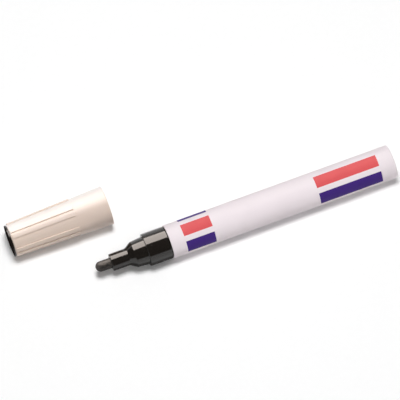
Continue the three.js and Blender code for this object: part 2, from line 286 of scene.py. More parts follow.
class Recipe:
    """The nodes of a material or of the world, built round its shader."""

    def __init__(self, owner: bpy.types.ID, shader: str = "Principled BSDF") -> None:
        """Starts the recipe.

        Args:
            owner: the new material or world.
            shader: its shader's name.
        """
        owner.use_nodes = True
        self.owner = owner
        self.tree = owner.node_tree
        self.shader = self.tree.nodes[shader]

    def feed(self, node: bpy.types.Node, *values: object, **inputs: object) -> bpy.types.Node:
        """Links sockets into a node's inputs, or sets these to values.

        Args:
            node: the node.
            values: what its first inputs get.
            inputs: what others get, by name with _ for a space, or small-lettered settings.

        Returns:
            The same node.
        """
        for key, value in [*enumerate(values), *inputs.items()]:
            if isinstance(key, str) and key.islower():
                setattr(node, key, value)
                continue
            socket = node.inputs[key.replace("_", " ") if isinstance(key, str) else key]
            if isinstance(value, Socket):
                self.tree.links.new(value, socket)
            else:
                socket.default_value = value
        return node

    def add(self, kind: str, *values: object, **inputs: object) -> bpy.types.Node:
        """Adds a node of a type, without its ShaderNode prefix, and feeds it."""
        return self.feed(self.tree.nodes.new("ShaderNode" + kind), *values, **inputs)

    def place(self, space: str = "Object") -> Socket:
        """Returns the place on the piece, or another of its coordinates."""
        return self.add("TexCoord").outputs[space]

    def grain(
        self, size: float, stretch: Stretch = (1.0, 1.0, 1.0), detail: float = 3.0, offset: float = 0.0
    ) -> Socket:
        """Adds a noise pattern that stays on the piece.

        Args:
            size: a grain's size in millimetres.
            stretch: how many times longer it is along each axis.
            detail: how many finer layers the noise has.
            offset: how far it is shifted.

        Returns:
            The pattern, about 0.3 to 0.7.
        """
        scale = tuple(1.0 / (mm(size) * longer) for longer in stretch)
        mapped = self.add("Mapping", Vector=self.place(), Scale=scale, Location=(offset,) * 3)
        noise = self.add("TexNoise", Vector=mapped.outputs["Vector"], Scale=1.0, Detail=detail)
        return noise.outputs["Fac"]

    def between(self, pattern: Socket, low: float, high: float, reach: Reach = MIDDLE) -> Socket:
        """Returns a pattern's values in reach spread from low to high."""
        ends = {"From_Min": reach[0], "From_Max": reach[1], "To_Min": low, "To_Max": high}
        return self.add("MapRange", pattern, **ends).outputs["Result"]

    def tint(self, pattern: Socket, low: Colour, high: Colour, reach: Reach = MIDDLE) -> Socket:
        """Colours a pattern.

        Args:
            pattern: the pattern.
            low: the colour up to the start of reach.
            high: the colour from the end of reach.
            reach: the values between which it changes.

        Returns:
            The colour.
        """
        ramp = self.add("ValToRGB", pattern)
        for stop, value, colour in zip(ramp.color_ramp.elements, reach, (low, high)):
            stop.position = value
            stop.color = linear(colour)
        return ramp.outputs["Color"]

    def clouded(self, pattern: Socket, colour: Colour, shares: Reach) -> Socket:
        """Returns a colour that a pattern makes darker or lighter by these shares."""
        return self.tint(pattern, shaded(colour, shares[0]), shaded(colour, shares[1]))

    def mix(self, share: Socket, first: Socket, second: Shade) -> Socket:
        """Returns a mix of two colours, which is the second one where the share is 1."""
        return self.add("MixRGB", Fac=share, Color1=first, Color2=second).outputs["Color"]

    def math(self, operation: str, *values: object) -> Socket:
        """Returns what an operation, in Blender's capitals, makes of these values."""
        return self.add("Math", *values, operation=operation).outputs["Value"]

    def raise_by(self, *heights: tuple[Socket, float]) -> None:
        """Gives the surface relief.

        Args:
            heights: patterns and their heights in millimetres.
        """
        normal: dict[str, Socket] = {}
        for pattern, height in heights:
            bump = self.add("Bump", Height=pattern, Strength=1.0, Distance=mm(height), **normal)
            normal = {"Normal": bump.outputs["Normal"]}
        self.feed(self.shader, **normal)

    def dress(self, **inputs: object) -> bpy.types.ID:
        """Sets the shader's inputs and returns the material or world."""
        self.feed(self.shader, **inputs)
        return self.owner


@dataclass(frozen=True)
class Finish:
    """How a surface looks: its name, slot and colour, and its least and greatest roughness."""

    name: str
    slot: Slot
    colour: Colour
    gloss: Reach

    def recipe(self) -> Recipe:
        """Starts the material."""
        return Recipe(bpy.data.materials.new(self.name))

    def material(self) -> bpy.types.Material:
        """Builds the material, in each kind of finish."""
        raise NotImplementedError


@dataclass(frozen=True)
class Moulded(Finish):
    """Moulded plastic or rubber: clouded colour, flow marks along the piece and a fine skin.

    The colour varies by a share both ways, glow is the share of light scattered inside, and dull ends
    are faces along X without a shine. Clouds, skin and relief are millimetres.
    """

    variation: float
    cloud: float
    skin: float
    relief: float
    ior: float = 1.49
    glow: float = 0.0
    dull_ends: bool = False
    shine: float = 0.5
    dull_reach: Reach = (-0.95, -0.7)

    def material(self) -> bpy.types.Material:
        """Builds the material."""
        recipe = self.recipe()
        clouds = recipe.grain(self.cloud, (4.0, 1.0, 1.0))
        rubbed = recipe.grain(self.cloud / 3, (1.0, 6.0, 6.0), offset=3.0)
        recipe.raise_by((recipe.grain(self.skin, detail=4.0), self.relief))
        shine: Socket | float = self.shine
        if self.dull_ends:
            facing = recipe.add("SeparateXYZ", recipe.place("Normal")).outputs["X"]
            shine = recipe.between(facing, 0.0, self.shine, self.dull_reach)
        return recipe.dress(
            Base_Color=recipe.clouded(clouds, self.colour, (1 - self.variation, 1 + self.variation)),
            Roughness=recipe.between(rubbed, *self.gloss),
            Specular_IOR_Level=shine,
            IOR=self.ior,
            Subsurface_Weight=self.glow,
            Subsurface_Radius=(mm(1.0), mm(0.8), mm(0.6)),
            Subsurface_Scale=1.0,
        )


@dataclass(frozen=True)
class Enamel(Finish):
    """Baked enamel on a drawn tube: faint orange peel and rub marks round the tube."""

    rubbed: Colour
    shine: float = 0.06
    cloud: float = 14.0
    shares: Reach = (0.992, 1.006)
    peel: float = 0.9
    peel_height: float = 0.0016
    rub_width: float = 0.25
    rub_length: float = 7.0
    rub_cover: float = 0.12

    def material(self) -> bpy.types.Material:
        """Builds the material."""
        recipe = self.recipe()
        peel = recipe.grain(self.peel, detail=2.0)
        stretch = (self.rub_length / self.rub_width, 1.0, 1.0)
        rubs = recipe.grain(self.rub_width, stretch, detail=2.0, offset=5.0)
        colour = recipe.clouded(recipe.grain(self.cloud, detail=2.0), self.colour, self.shares)
        marks = recipe.between(rubs, 0.0, self.rub_cover, (0.62, 0.74))
        recipe.raise_by((peel, self.peel_height), (rubs, self.peel_height / 3))
        return recipe.dress(
            Base_Color=recipe.mix(marks, colour, linear(self.rubbed)),
            Roughness=recipe.between(rubs, *self.gloss, (0.3, 0.75)),
            Specular_IOR_Level=self.shine,
        )


@dataclass(frozen=True)
class PrintedInk(Finish):
    """Screen-printed ink: a slightly uneven film with a mesh-like grain and small thin spots."""

    shine: float = 0.06
    cloud: float = 5.0
    shares: Reach = (0.99, 1.006)
    grain: float = 0.35
    film: float = 0.004
    thin_cover: float = 0.08
    thin_share: float = 1.35

    def material(self) -> bpy.types.Material:
        """Builds the material."""
        recipe = self.recipe()
        film = recipe.grain(self.grain, detail=4.0)
        colour = recipe.clouded(recipe.grain(self.cloud, offset=2.0), self.colour, self.shares)
        thin = recipe.between(film, 0.0, self.thin_cover, (0.58, 0.8))
        recipe.raise_by((film, self.film))
        return recipe.dress(
            Base_Color=recipe.mix(thin, colour, linear(shaded(self.colour, self.thin_share))),
            Roughness=recipe.between(film, *self.gloss),
            Specular_IOR_Level=self.shine,
        )


@dataclass(frozen=True)
class SoakedFibre(Finish):
    """Pressed fibre soaked in ink: strands along the nib, darker between them and in patches."""

    wet: Colour
    strand: float = 0.12
    relief: float = 0.03
    patch: float = 0.8
    patch_cover: float = 0.85
    ior: float = 1.45

    def material(self) -> bpy.types.Material:
        """Builds the material."""
        recipe = self.recipe()
        strands = recipe.grain(self.strand, (9.0, 1.0, 1.0), detail=4.0)
        soaked = recipe.grain(self.patch, (1.6, 1.0, 1.0), offset=4.0)
        colour = recipe.tint(strands, self.wet, self.colour, (0.38, 0.62))
        patches = recipe.between(soaked, 0.0, self.patch_cover, (0.42, 0.58))
        recipe.raise_by((strands, self.relief))
        return recipe.dress(
            Base_Color=recipe.mix(patches, colour, linear(self.wet)),
            Roughness=recipe.between(soaked, self.gloss[1], self.gloss[0], (0.45, 0.62)),
            IOR=self.ior,
        )


@dataclass(frozen=True)
class Steel(Finish):
    """Bare metal with fine marks from its making, longer in one direction."""

    mark: float
    stretch: Stretch
    relief: float
    stain: float = 12.0
    shares: Reach = (0.92, 1.0)

    def material(self) -> bpy.types.Material:
        """Builds the material."""
        recipe = self.recipe()
        marks = recipe.grain(self.mark, self.stretch, detail=4.0)
        stains = recipe.grain(self.mark * self.stain, detail=2.0, offset=6.0)
        recipe.raise_by((marks, self.relief))
        return recipe.dress(
            Base_Color=recipe.clouded(stains, self.colour, self.shares),
            Metallic=1.0,
            Roughness=recipe.between(marks, *self.gloss),
        )


SATIN = (0.42, 0.55)

WHITE_ENAMEL = Enamel("White enamel", Slot.ENAMEL, (239, 229, 233), SATIN, (206, 203, 206))
RED_PRINT = PrintedInk("Red print", Slot.ENAMEL, (221, 91, 94), SATIN)
BLUE_PRINT = PrintedInk("Blue print", Slot.ENAMEL, (70, 45, 126), SATIN)
TUBE_METAL = Steel(
    "Bare aluminium", Slot.ENAMEL, (205, 207, 210), (0.28, 0.4), 0.15, (1.0, 12.0, 12.0), 0.002
)
BLACK_GLOSS = Moulded(
    "Glossy black plastic", Slot.BLACK, (27, 23, 20), (0.07, 0.13), 0.08, 9.0, 0.6, 0.0004
)
BLACK_SATIN = Moulded(
    "Satin black plastic", Slot.BLACK, (34, 28, 25), (0.2, 0.3), 0.08, 6.0, 0.5, 0.001, dull_ends=True
)
CAP_WHITE = Moulded(
    "Warm white plastic", Slot.CAP, (219, 200, 187), (0.42, 0.52), 0.008, 8.0, 0.5, 0.0012, glow=0.08
)
LINER_WHITE = Moulded(
    "Natural soft plastic", Slot.LINER, (231, 228, 219), SATIN, 0.015, 6.0, 0.3, 0.003, glow=0.15
)
VALVE_WHITE = Moulded(
    "Natural valve plastic", Slot.VALVE, (229, 231, 233), (0.36, 0.5), 0.015, 5.0, 0.3, 0.002, glow=0.1
)
SEAL_BLACK = Moulded(
    "Matt seal rubber", Slot.RUBBER, (56, 56, 58), (0.7, 0.85), 0.1, 2.5, 0.12, 0.006, ior=1.52
)
NIB_FIBRE = SoakedFibre("Soaked nib fibre", Slot.FIBRE, (80, 74, 69), (0.4, 0.64), (16, 13, 11))
SPRING_STEEL = Steel(
    "Drawn spring wire", Slot.SPRING, (181, 184, 188), (0.22, 0.36), 0.05, (1.0, 4.0, 4.0), 0.001
)
BALL_STEEL = Steel(
    "Polished ball steel", Slot.BALL, (200, 203, 206), (0.06, 0.14), 0.2, (1.0, 1.0, 3.0), 0.0004
)


def coat(piece: Piece, finish: Finish) -> None:
    """Gives a piece a finish, on all its faces or, if it has one already, on the selected ones.

    Args:
        piece: the piece.
        finish: the finish, whose material is made once.
    """
    piece.data.materials.append(bpy.data.materials.get(finish.name) or finish.material())
    last = len(piece.data.materials) - 1
    if last == 0:
        return
    for face in piece.data.polygons:
        if face.select:
            face.material_index = last


# Sub-assemblies


@dataclass(frozen=True)
class Axis:
    """A line: the place of its station 0, in metres, and how far it rises along +X, in radians."""

    origin: Vector
    tilt: float = 0.0


@dataclass(frozen=True)
class Assembly:
    """A group of pieces on one line."""

    axis: Axis

    def settle(self, piece: Piece, finish: Finish, body: str, *nodes: str) -> Piece:
        """Coats a piece, lays it on the line, and lets it ride on a body in place of solids.

        Args:
            piece: the piece, with station 0 at the origin.
            finish: its finish.
            body: what it moves with.
            nodes: the solids that it stands for.

        Returns:
            The same piece.
        """
        coat(piece, finish)
        only(piece)
        piece.location = self.axis.origin
        piece.rotation_euler = (0.0, -self.axis.tilt, 0.0)
        bpy.ops.object.transform_apply(location=True, rotation=True, scale=True)
        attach(piece, body)
        if nodes:
            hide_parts(*nodes)
        LOG.info("%s rides on %s: %d faces", piece.name, body, len(piece.data.polygons))
        return piece

    def turn(self, name: str, finish: Finish, body: str, *outline: Corner) -> None:
        """Turns a piece that needs no more work, and settles it in place of its solid."""
        self.settle(turned(name, self.steps, *outline), finish, body, name)


@dataclass(frozen=True)
class Band:
    """A printed bar: its start behind the barrel's mouth, its length and the degrees it spans."""

    name: str
    finish: PrintedInk
    start: float
    length: float
    from_angle: float
    to_angle: float


@dataclass(frozen=True)
class Barrel(Assembly):
    """The enamelled aluminium tube, closed at the rear, with its printed bars."""

    front: float
    length: float = 95.5
    sides: int = 48
    diameter: float = 13.8
    wall: float = 0.5
    base: float = 0.8
    rear_radius: float = 0.7
    mouth_radius: float = 0.2
    steps: int = 180
    print_height: float = 0.01
    print_root: float = 0.1
    front_band: Reach = (5.9, 12.1)
    rear_band: Reach = (62.5, 26.55)

    def build_tube(self) -> None:
        """Models the tube with its thin wall, and shows its bare metal inside."""
        radius = flat(self.sides, self.diameter / 2)
        bore = flat(self.sides, self.diameter / 2 - self.wall)
        rear = self.front + self.length
        base = rear - self.base
        tube = turned(
            "barrel", self.steps,
            (rear, 0), (rear, radius, self.rear_radius),
            (self.front, radius, self.mouth_radius), (self.front, bore),
            (base, bore, self.rear_radius - self.wall), (base, 0),
        )
        coat(tube, WHITE_ENAMEL)
        inside = mm(bore) + WELD
        deepest = mm(base) + WELD
        select_faces(tube, lambda centre, _: centre.yz.length < inside and centre.x < deepest)
        self.settle(tube, TUBE_METAL, "marker", "barrel")

    def build_bar(self, band: Band) -> None:
        """Models one printed bar as a thin film with a closed edge.

        Args:
            band: its ink, place and size.
        """
        film = flat(self.sides, self.diameter / 2) + self.print_height
        turn = math.radians(band.from_angle)
        edge = Vector((0.0, math.cos(turn), math.sin(turn))) * mm(film)
        start = Vector((mm(self.front + band.start), 0.0, 0.0))
        end = start + Vector((mm(band.length), 0.0, 0.0))
        span = math.radians(band.to_angle - band.from_angle)
        bar = drawn(band.name, [start + edge, end + edge])
        spun(bar, round(span / TURN * self.steps), -span)
        apply_modifier(bar, "SOLIDIFY", thickness=mm(self.print_height + self.print_root), offset=-1.0)
        self.settle(welded(bar), band.finish, "marker")

    def build(self) -> None:
        """Models the tube, three short bars at its front and two long ones at its rear."""
        self.build_tube()
        red, blue = ("red", RED_PRINT), ("blue", BLUE_PRINT)
        inks = [(*blue, 2, 46), (*red, 68, 110), (*blue, 129, 176)]
        for number, (ink, finish, *angles) in enumerate(inks, start=1):
            self.build_bar(Band(f"front_bar_{number}_{ink}", finish, *self.front_band, *angles))
        for ink, finish, *angles in inks[1:]:
            self.build_bar(Band(f"rear_bar_{ink}", finish, *self.rear_band, *angles))


@dataclass(frozen=True)
class FrontSection(Assembly):
    """The black holder: nose, hollow throat and cone, collar, cap seat, and a ringed spigot."""

    nose_front: float
    barrel_front: float
    nose_radius: float = 3.5
    nose_length: float = 7.0
    nose_edge: float = 0.4
    throat_radius: float = 1.6
    cone_length: float = 2.7
    collar_front: float = 5.25
    collar_rear: float = 5.65
    collar_length: float = 5.0
    collar_edge: float = 0.5
    seat_radius: float = 6.65
    seat_edge: float = 0.35
    seat_rear_edge: float = 0.45
    seat_gap: float = 0.1
    spigot_length: float = 9.0
    ring_radius: float = 6.28
    ring_relief: float = 0.25
    ring_width: float = 1.0
    rings: int = 3
    nib_bore: float = 2.25
    nib_depth: float = 11.2
    cup_bore: float = 3.6
    cup_depth: float = 9.0
    valve_bore: float = 4.9
    edge: float = 0.12
    steps: int = 180

    def spigot(self) -> list[Corner]:
        """Returns the outline of the spigot's sealing rings."""
        start = self.barrel_front - self.seat_gap
        relief = self.ring_radius - self.ring_relief
        pitch = (self.seat_gap + self.spigot_length - self.ring_width) / self.rings
        corners = [(start, relief)]
        for ring in range(1, self.rings + 1):
            foot = start + ring * pitch
            top = foot + self.ring_width - self.ring_relief
            corners += [(foot - self.ring_relief, relief), (foot, self.ring_radius, self.edge)]
            corners += [(top, self.ring_radius, self.edge), (top + self.ring_relief, relief)]
        return corners

    def build(self) -> None:
        """Models the section with its stepped bores."""
        cone = self.nose_front + self.nose_length
        collar = cone + self.cone_length
        seat = collar + self.collar_length
        cup = self.nose_front + self.nib_depth
        valve = cup + self.cup_depth
        rear = self.barrel_front + self.spigot_length
        self.turn(
            "front_section", BLACK_GLOSS, "marker",
            (self.nose_front, self.nib_bore), (self.nose_front, self.nose_radius, self.nose_edge),
            (cone, self.nose_radius, self.throat_radius),
            (collar, self.collar_front, self.collar_edge),
            (seat, self.collar_rear), (seat, self.seat_radius, self.seat_edge),
            (self.barrel_front - self.seat_gap, self.seat_radius, self.seat_rear_edge),
            *self.spigot(),
            (rear, self.valve_bore),
            (valve, self.valve_bore), (valve, self.cup_bore, self.edge),
            (cup, self.cup_bore), (cup, self.nib_bore, self.edge),
        )


@dataclass(frozen=True)
class NibUnit(Assembly):
    """The fibre nib and the plunger that carries it: cup, stem, sealing head and guide pin."""

    nose_front: float
    seat_rear: float
    retainer_front: float
    nib_radius: float = 2.1
    shank: float = 13.9
    tail_chamfer: float = 0.4
    rest_gap: float = 0.3
    seat_gap: float = 0.1
    press_gap: float = 0.1
    cup_radius: float = 3.1
    cup_length: float = 4.2
    socket_depth: float = 2.4
    stem_radius: float = 1.3
    head_radius: float = 2.9
    head_thickness: float = 1.8
    bevel: float = 0.7
    pin_radius: float = 1.1
    pin_reach: float = 0.7
    edge: float = 0.15
    steps: int = 96

    def build(self) -> None:
        """Models the bullet nib and the plunger."""
        radius = self.nib_radius
        tail = self.nose_front + self.shank
        self.turn(
            "nib", NIB_FIBRE, "nib_unit",
            (0, 0), (0, radius, radius - WELD),
            (tail - self.tail_chamfer, radius),
            (tail, radius - self.tail_chamfer), (tail, 0),
        )
        socket = self.nib_radius + self.press_gap
        floor = self.nose_front + self.shank + self.rest_gap
        cup = floor - self.socket_depth
        cup_rear = cup + self.cup_length
        head = self.seat_rear + self.seat_gap
        head_rear = head + self.head_thickness
        pin_rear = self.retainer_front + self.pin_reach
        self.turn(
            "valve_plunger", VALVE_WHITE, "nib_unit",
            (floor, 0), (floor, socket),
            (cup, socket), (cup, self.cup_radius, self.edge),
            (cup_rear - self.bevel, self.cup_radius, self.edge),
            (cup_rear, self.stem_radius, self.edge),
            (head, self.stem_radius), (head, self.head_radius - self.bevel),
            (head + self.bevel, self.head_radius, self.edge),
            (head_rear, self.head_radius, self.edge), (head_rear, self.pin_radius, self.edge),
            (pin_rear, self.pin_radius, 2 * self.edge), (pin_rear, 0),
        )


@dataclass(frozen=True)
class Valve(Assembly):
    """What lies in the front section round the plunger: seat ring, spring, tube and retainer."""

    seat_front: float
    spigot_rear: float
    seat_thickness: float = 1.5
    seat_bore: float = 2.0
    gap: float = 0.1
    rest_gap: float = 0.3
    body_radius: float = 4.8
    body_wall: float = 0.9
    body_length: float = 16.2
    flange_radius: float = 5.9
    flange_depth: float = 1.0
    plug_length: float = 1.4
    rim_thickness: float = 0.8
    guide_bore: float = 1.25
    holes: int = 6
    hole_radius: float = 0.65
    hole_circle: float = 2.7
    hole_sides: int = 32
    drill_length: float = 5.6
    head_thickness: float = 1.8
    stroke: float = 2.0
    wire: float = 0.5
    wire_sides: int = 16
    coil_radius: float = 2.2
    coils: int = 7
    coil_steps: int = 48
    edge: float = 0.12
    steps: int = 120

    @property
    def seat_rear(self) -> float:
        """The station of the seat ring's rear face."""
        return self.seat_front + self.seat_thickness

    @property
    def body_front(self) -> float:
        """The station of the tube's front end."""
        return self.seat_rear + self.gap

    @property
    def retainer_front(self) -> float:
        """The station of the retainer's front face, which the spring pushes on."""
        return self.body_front + self.body_length - self.plug_length

    def build_seat(self) -> None:
        """Models the rubber ring."""
        inner = self.seat_bore
        self.turn(
            "valve_seat", SEAL_BLACK, "marker",
            (self.seat_front + self.edge, inner),
            (self.seat_front, inner, self.edge), (self.seat_front, self.body_radius, self.edge),
            (self.seat_rear, self.body_radius, self.edge), (self.seat_rear, inner, self.edge),
        )

    def build_body(self) -> None:
        """Models the tube round the spring, with its flange."""
        bore = self.body_radius - self.body_wall
        rear = self.body_front + self.body_length
        flange = self.spigot_rear + self.gap
        flange_rear = flange + self.flange_depth
        self.turn(
            "valve_body", VALVE_WHITE, "marker",
            (self.body_front, bore), (self.body_front, self.body_radius, self.edge),
            (flange, self.body_radius, self.edge), (flange, self.flange_radius, self.edge),
            (flange_rear, self.flange_radius, self.edge),
            (flange_rear, self.body_radius, self.edge),
            (rear, self.body_radius, self.edge), (rear, bore),
        )

    def build_retainer(self) -> None:
        """Models the plug with its guide hole and its ring of ink inlets."""
        plug = self.body_radius - self.body_wall - self.gap
        rim = self.body_front + self.body_length + self.gap
        rear = rim + self.rim_thickness
        retainer = turned(
            "spring_retainer", self.steps,
            (self.retainer_front, self.guide_bore), (self.retainer_front, plug, self.edge),
            (rim, plug), (rim, self.body_radius, self.edge),
            (rear, self.body_radius, self.edge), (rear, self.guide_bore, self.edge),
        )
        middle = mm(self.retainer_front + self.plug_length)
        circle = mm(self.hole_circle)
        for hole in range(self.holes):
            angle = TURN * hole / self.holes
            bpy.ops.mesh.primitive_cylinder_add(
                vertices=self.hole_sides,
                radius=mm(self.hole_radius),
                depth=mm(self.drill_length),
                location=(middle, circle * math.cos(angle), circle * math.sin(angle)),
                rotation=(0.0, TURN / 4, 0.0),
            )
            cutter = bpy.context.object
            apply_modifier(retainer, "BOOLEAN", operation="DIFFERENCE", object=cutter, solver="EXACT")
            bpy.data.objects.remove(cutter)
        self.settle(welded(retainer), VALVE_WHITE, "marker", "spring_retainer")

    def build_spring(self) -> None:
        """Winds and closes the spring, which shortens towards the retainer as the nib goes in."""
        clear = self.rest_gap + self.wire / 2
        start = self.seat_rear + self.gap + self.head_thickness + clear
        length = self.retainer_front - clear - start
        radius = mm(self.wire / 2)
        bpy.ops.mesh.primitive_circle_add(vertices=self.wire_sides, radius=radius, fill_type="NGON")
        spring = named("valve_spring")
        with editing(spring):
            bpy.ops.transform.translate(value=(mm(start), mm(self.coil_radius), 0.0))
        steps = {"steps": self.coil_steps, "render_steps": self.coil_steps, "iterations": self.coils}
        pitch = mm(length / self.coils)
        apply_modifier(spring, "SCREW", axis="X", angle=TURN, screw_offset=pitch, **steps)
        with editing(spring, "DESELECT"):
            bpy.ops.mesh.select_mode(type="EDGE")
            bpy.ops.mesh.select_non_manifold(extend=False, use_wire=False, use_multi_face=False)
            bpy.ops.mesh.edge_face_add()
            bpy.ops.mesh.select_mode(type="VERT")
        self.settle(welded(spring), SPRING_STEEL, "marker", "valve_spring")
        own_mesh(spring)

    def build(self) -> None:
        """Models all pieces of the valve but the plunger."""
        self.build_seat()
        self.build_body()
        self.build_retainer()
        self.build_spring()


@dataclass(frozen=True)
class MixingBall(Assembly):
    """The loose steel ball that stirs the paint."""

    diameter: float = 7.0
    cuts: int = 23

    def build(self) -> None:
        """Rounds a finely divided cube into a ball without poles."""
        bpy.ops.mesh.primitive_cube_add(size=mm(self.diameter))
        ball = named("mixing_ball")
        with editing(ball):
            bpy.ops.mesh.subdivide(number_cuts=self.cuts)
        shape = {"cast_type": "SPHERE", "size": mm(self.diameter / 2), "use_radius_as_size": False}
        apply_modifier(ball, "CAST", factor=1.0, **shape)
        self.settle(welded(ball), BALL_STEEL, "ball", "mixing_ball")


@dataclass(frozen=True)
class Cap(Assembly):
    """The ribbed white cap with its liner and its black end plug, lying on its own taper."""

    axis: Axis = field(init=False)
    nib_tip: Vector
    sideways: float
    mouth_past_tip: float = 13.6
    length: float = 40.1
    sides: int = 50
    end_diameter: float = 13.6
    mouth_diameter: float = 15.9
    mouth_edge: float = 0.25
    end_reach: float = 0.7
    end_edge: float = 0.5
    mouth_bore: float = 6.75
    mouth_depth: float = 10.5
    throat: float = 0.8
    middle_bore: float = 5.85
    ring_thickness: float = 1.5
    bore_end: float = 5.4
    rib_pairs: int = 5
    rib_height: float = 0.34
    rib_length: float = 26.3
    rib_steps: int = 8
    pair_gap_steps: int = 4
    rib_edge: float = 0.08
    rib_arc: int = 3
    valley_depth: float = 0.15
    valley_end: float = 2.0
    steps: int = 200
    liner_bore: float = 3.55
    liner_wall: float = 1.05
    liner_rear: float = 6.8
    liner_mouth: float = 23.2
    liner_floor: float = 8.2
    flange_depth: float = 1.2
    gap: float = 0.1
    plug_radius: float = 6.5
    plug_rim: float = 0.5
    plug_dome: float = 0.1
    plug_wall: float = 1.2
    dome_steps: int = 18
    edge: float = 0.12

    def __post_init__(self) -> None:
        """Works out how the cap lies: its lowest line touches the table."""
        tilt = math.atan((self.radius_at(self.length) - self.radius_at(0)) / self.length)
        reach = mm(self.mouth_past_tip - self.length * math.cos(tilt))
        height = mm(self.radius_at(0)) * math.cos(tilt)
        origin = Vector((self.nib_tip.x + reach, self.sideways, height))
        object.__setattr__(self, "axis", Axis(origin, tilt))

    def radius_at(self, station: float) -> float:
        """Returns the plain shell's radius at a station."""
        end = flat(self.sides, self.end_diameter)
        mouth = flat(self.sides, self.mouth_diameter)
        return (end + (mouth - end) * station / self.length) / 2

    def ribbed(self, centre: Vector, normal: Vector) -> bool:
        """Says whether a face of the plain shell lies under a rib.

        Args:
            centre: the face's centre.
            normal: its normal.

        Returns:
            Whether it is outside, within the ribs' length and in one of their pairs.
        """
        outward = normal.yz.dot(centre.yz) > centre.yz.length / 2
        if not outward or not mm(self.end_edge - self.end_reach) < centre.x < mm(self.rib_length):
            return False
        angle = math.atan2(centre.z, centre.y) + TURN / 4
        pair_steps = self.steps / self.rib_pairs
        aside = abs((angle / TURN * self.steps) % pair_steps - pair_steps / 2)
        half_gap = self.pair_gap_steps / 2
        return half_gap < aside < half_gap + self.rib_steps

    def build_shell(self) -> Piece:
        """Models the tapered shell, then raises its ribs and rounds their edges.

        Returns:
            The shell.
        """
        end = -self.end_reach
        band = self.rib_length + self.valley_end
        ring = self.liner_rear + self.flange_depth + self.gap
        ring_bore = self.liner_bore + self.liner_wall + self.gap
        bore_from = self.length - self.mouth_depth
        shell = turned(
            "cap_shell", self.steps,
            (end, self.bore_end), (end, self.radius_at(end) - self.valley_depth, self.end_edge),
            (self.rib_length, self.radius_at(self.rib_length) - self.valley_depth),
            (band, self.radius_at(band)),
            (self.length, self.radius_at(self.length), self.mouth_edge),
            (self.length, self.mouth_bore, self.edge),
            (bore_from, self.mouth_bore, self.edge),
            (bore_from - self.throat, self.middle_bore, self.edge),
            (ring + self.ring_thickness, self.middle_bore),
            (ring + self.ring_thickness, ring_bore, self.edge),
            (ring, ring_bore), (ring, self.bore_end),
        )
        select_faces(shell, self.ribbed)
        raised = mm(self.valley_depth + self.rib_height)
        with editing(shell, None):
            bpy.ops.mesh.extrude_region_shrink_fatten(TRANSFORM_OT_shrink_fatten={"value": raised})
            bpy.ops.mesh.region_to_loop()
            bpy.ops.mesh.bevel(offset=mm(self.rib_edge), segments=self.rib_arc, affect="EDGES")
        return self.settle(welded(shell), CAP_WHITE, "cap", "cap_shell")

    def build_liner(self) -> None:
        """Models the inner cap that seals on the nose."""
        flange = self.bore_end - self.gap
        flange_to = self.liner_rear + self.flange_depth
        outer = self.liner_bore + self.liner_wall
        self.turn(
            "inner_cap", LINER_WHITE, "cap",
            (self.liner_rear, 0), (self.liner_rear, flange, self.edge),
            (flange_to, flange, self.edge), (flange_to, outer),
            (self.liner_mouth, outer, 2 * self.edge),
            (self.liner_mouth, self.liner_bore, 2 * self.edge),
            (self.liner_floor, self.liner_bore, 4 * self.edge), (self.liner_floor, 0),
        )

    def build_plug(self) -> None:
        """Models the end plug: a low dome with a rim, and a hollow spigot in the shell."""
        head = self.plug_radius
        spigot = self.bore_end - self.gap
        foot = -self.end_reach - self.gap
        rim = foot - self.plug_rim
        deep = self.liner_rear - self.gap
        dome = []
        for step in range(self.dome_steps + 1):
            angle = TURN / 4 * step / self.dome_steps
            dome.append((rim - self.plug_dome * math.cos(angle), head * math.sin(angle)))
        self.turn(
            "cap_end_plug", BLACK_SATIN, "cap",
            *dome,
            (foot, head, self.edge), (foot, spigot),
            (deep, spigot, self.edge), (deep, spigot - self.plug_wall, self.edge),
            (foot, spigot - self.plug_wall), (foot, 0),
        )

    def build(self) -> Piece:
        """Models the liner, the plug and the shell.

        Returns:
            The shell.
        """
        self.build_liner()
        self.build_plug()
        return self.build_shell()


# The photographer's side


def aimed(data: bpy.types.ID, azimuth: float, elevation: float, distance: float, at: Vector) -> Piece:
    """Places a camera or a lamp and turns it to the point that it looks at.

    Args:
        data: its data, which has its name.
        azimuth: where it stands round the point, in degrees from -Y towards +X.
        elevation: how high it stands, in degrees.
        distance: how far away it stands.
        at: the point.

    Returns:
        The new object.
    """
    turn = math.radians(azimuth)
    lift = math.radians(elevation)
    flat = math.cos(lift)
    # straight behind the point, this is exactly 0
    aside = round(math.sin(turn), SINE_DIGITS)
    away = Vector((aside * flat, -math.cos(turn) * flat, math.sin(lift)))
    thing = bpy.data.objects.new(data.name, data)
    thing.location = at + away * distance
    thing.rotation_mode = "QUATERNION"
    thing.rotation_quaternion = (-away).to_track_quat("-Z", "Y")
    bpy.context.scene.collection.objects.link(thing)
    return thing


@dataclass(frozen=True)
class View:
    """The camera, as the photograph was taken: from far above, a little to the left.

    Angles are in degrees, lens and sensor in millimetres and all else in metres.
    """

    target: tuple[float, float, float] = (0.00115, 0.0026, 0.0)
    azimuth: float = -21.2
    elevation: float = 68.5
    distance: float = 2.659
    lens: float = 600.0
    sensor: float = 36.0
    clip: Reach = (0.1, 50.0)

    def build(self) -> None:
        """Makes the camera and gives it to the scene."""
        data = bpy.data.cameras.new("Camera")
        data.lens = self.lens
        data.sensor_width = self.sensor
        data.clip_start, data.clip_end = self.clip
        camera = aimed(data, self.azimuth, self.elevation, self.distance, Vector(self.target))
        bpy.context.scene.camera = camera


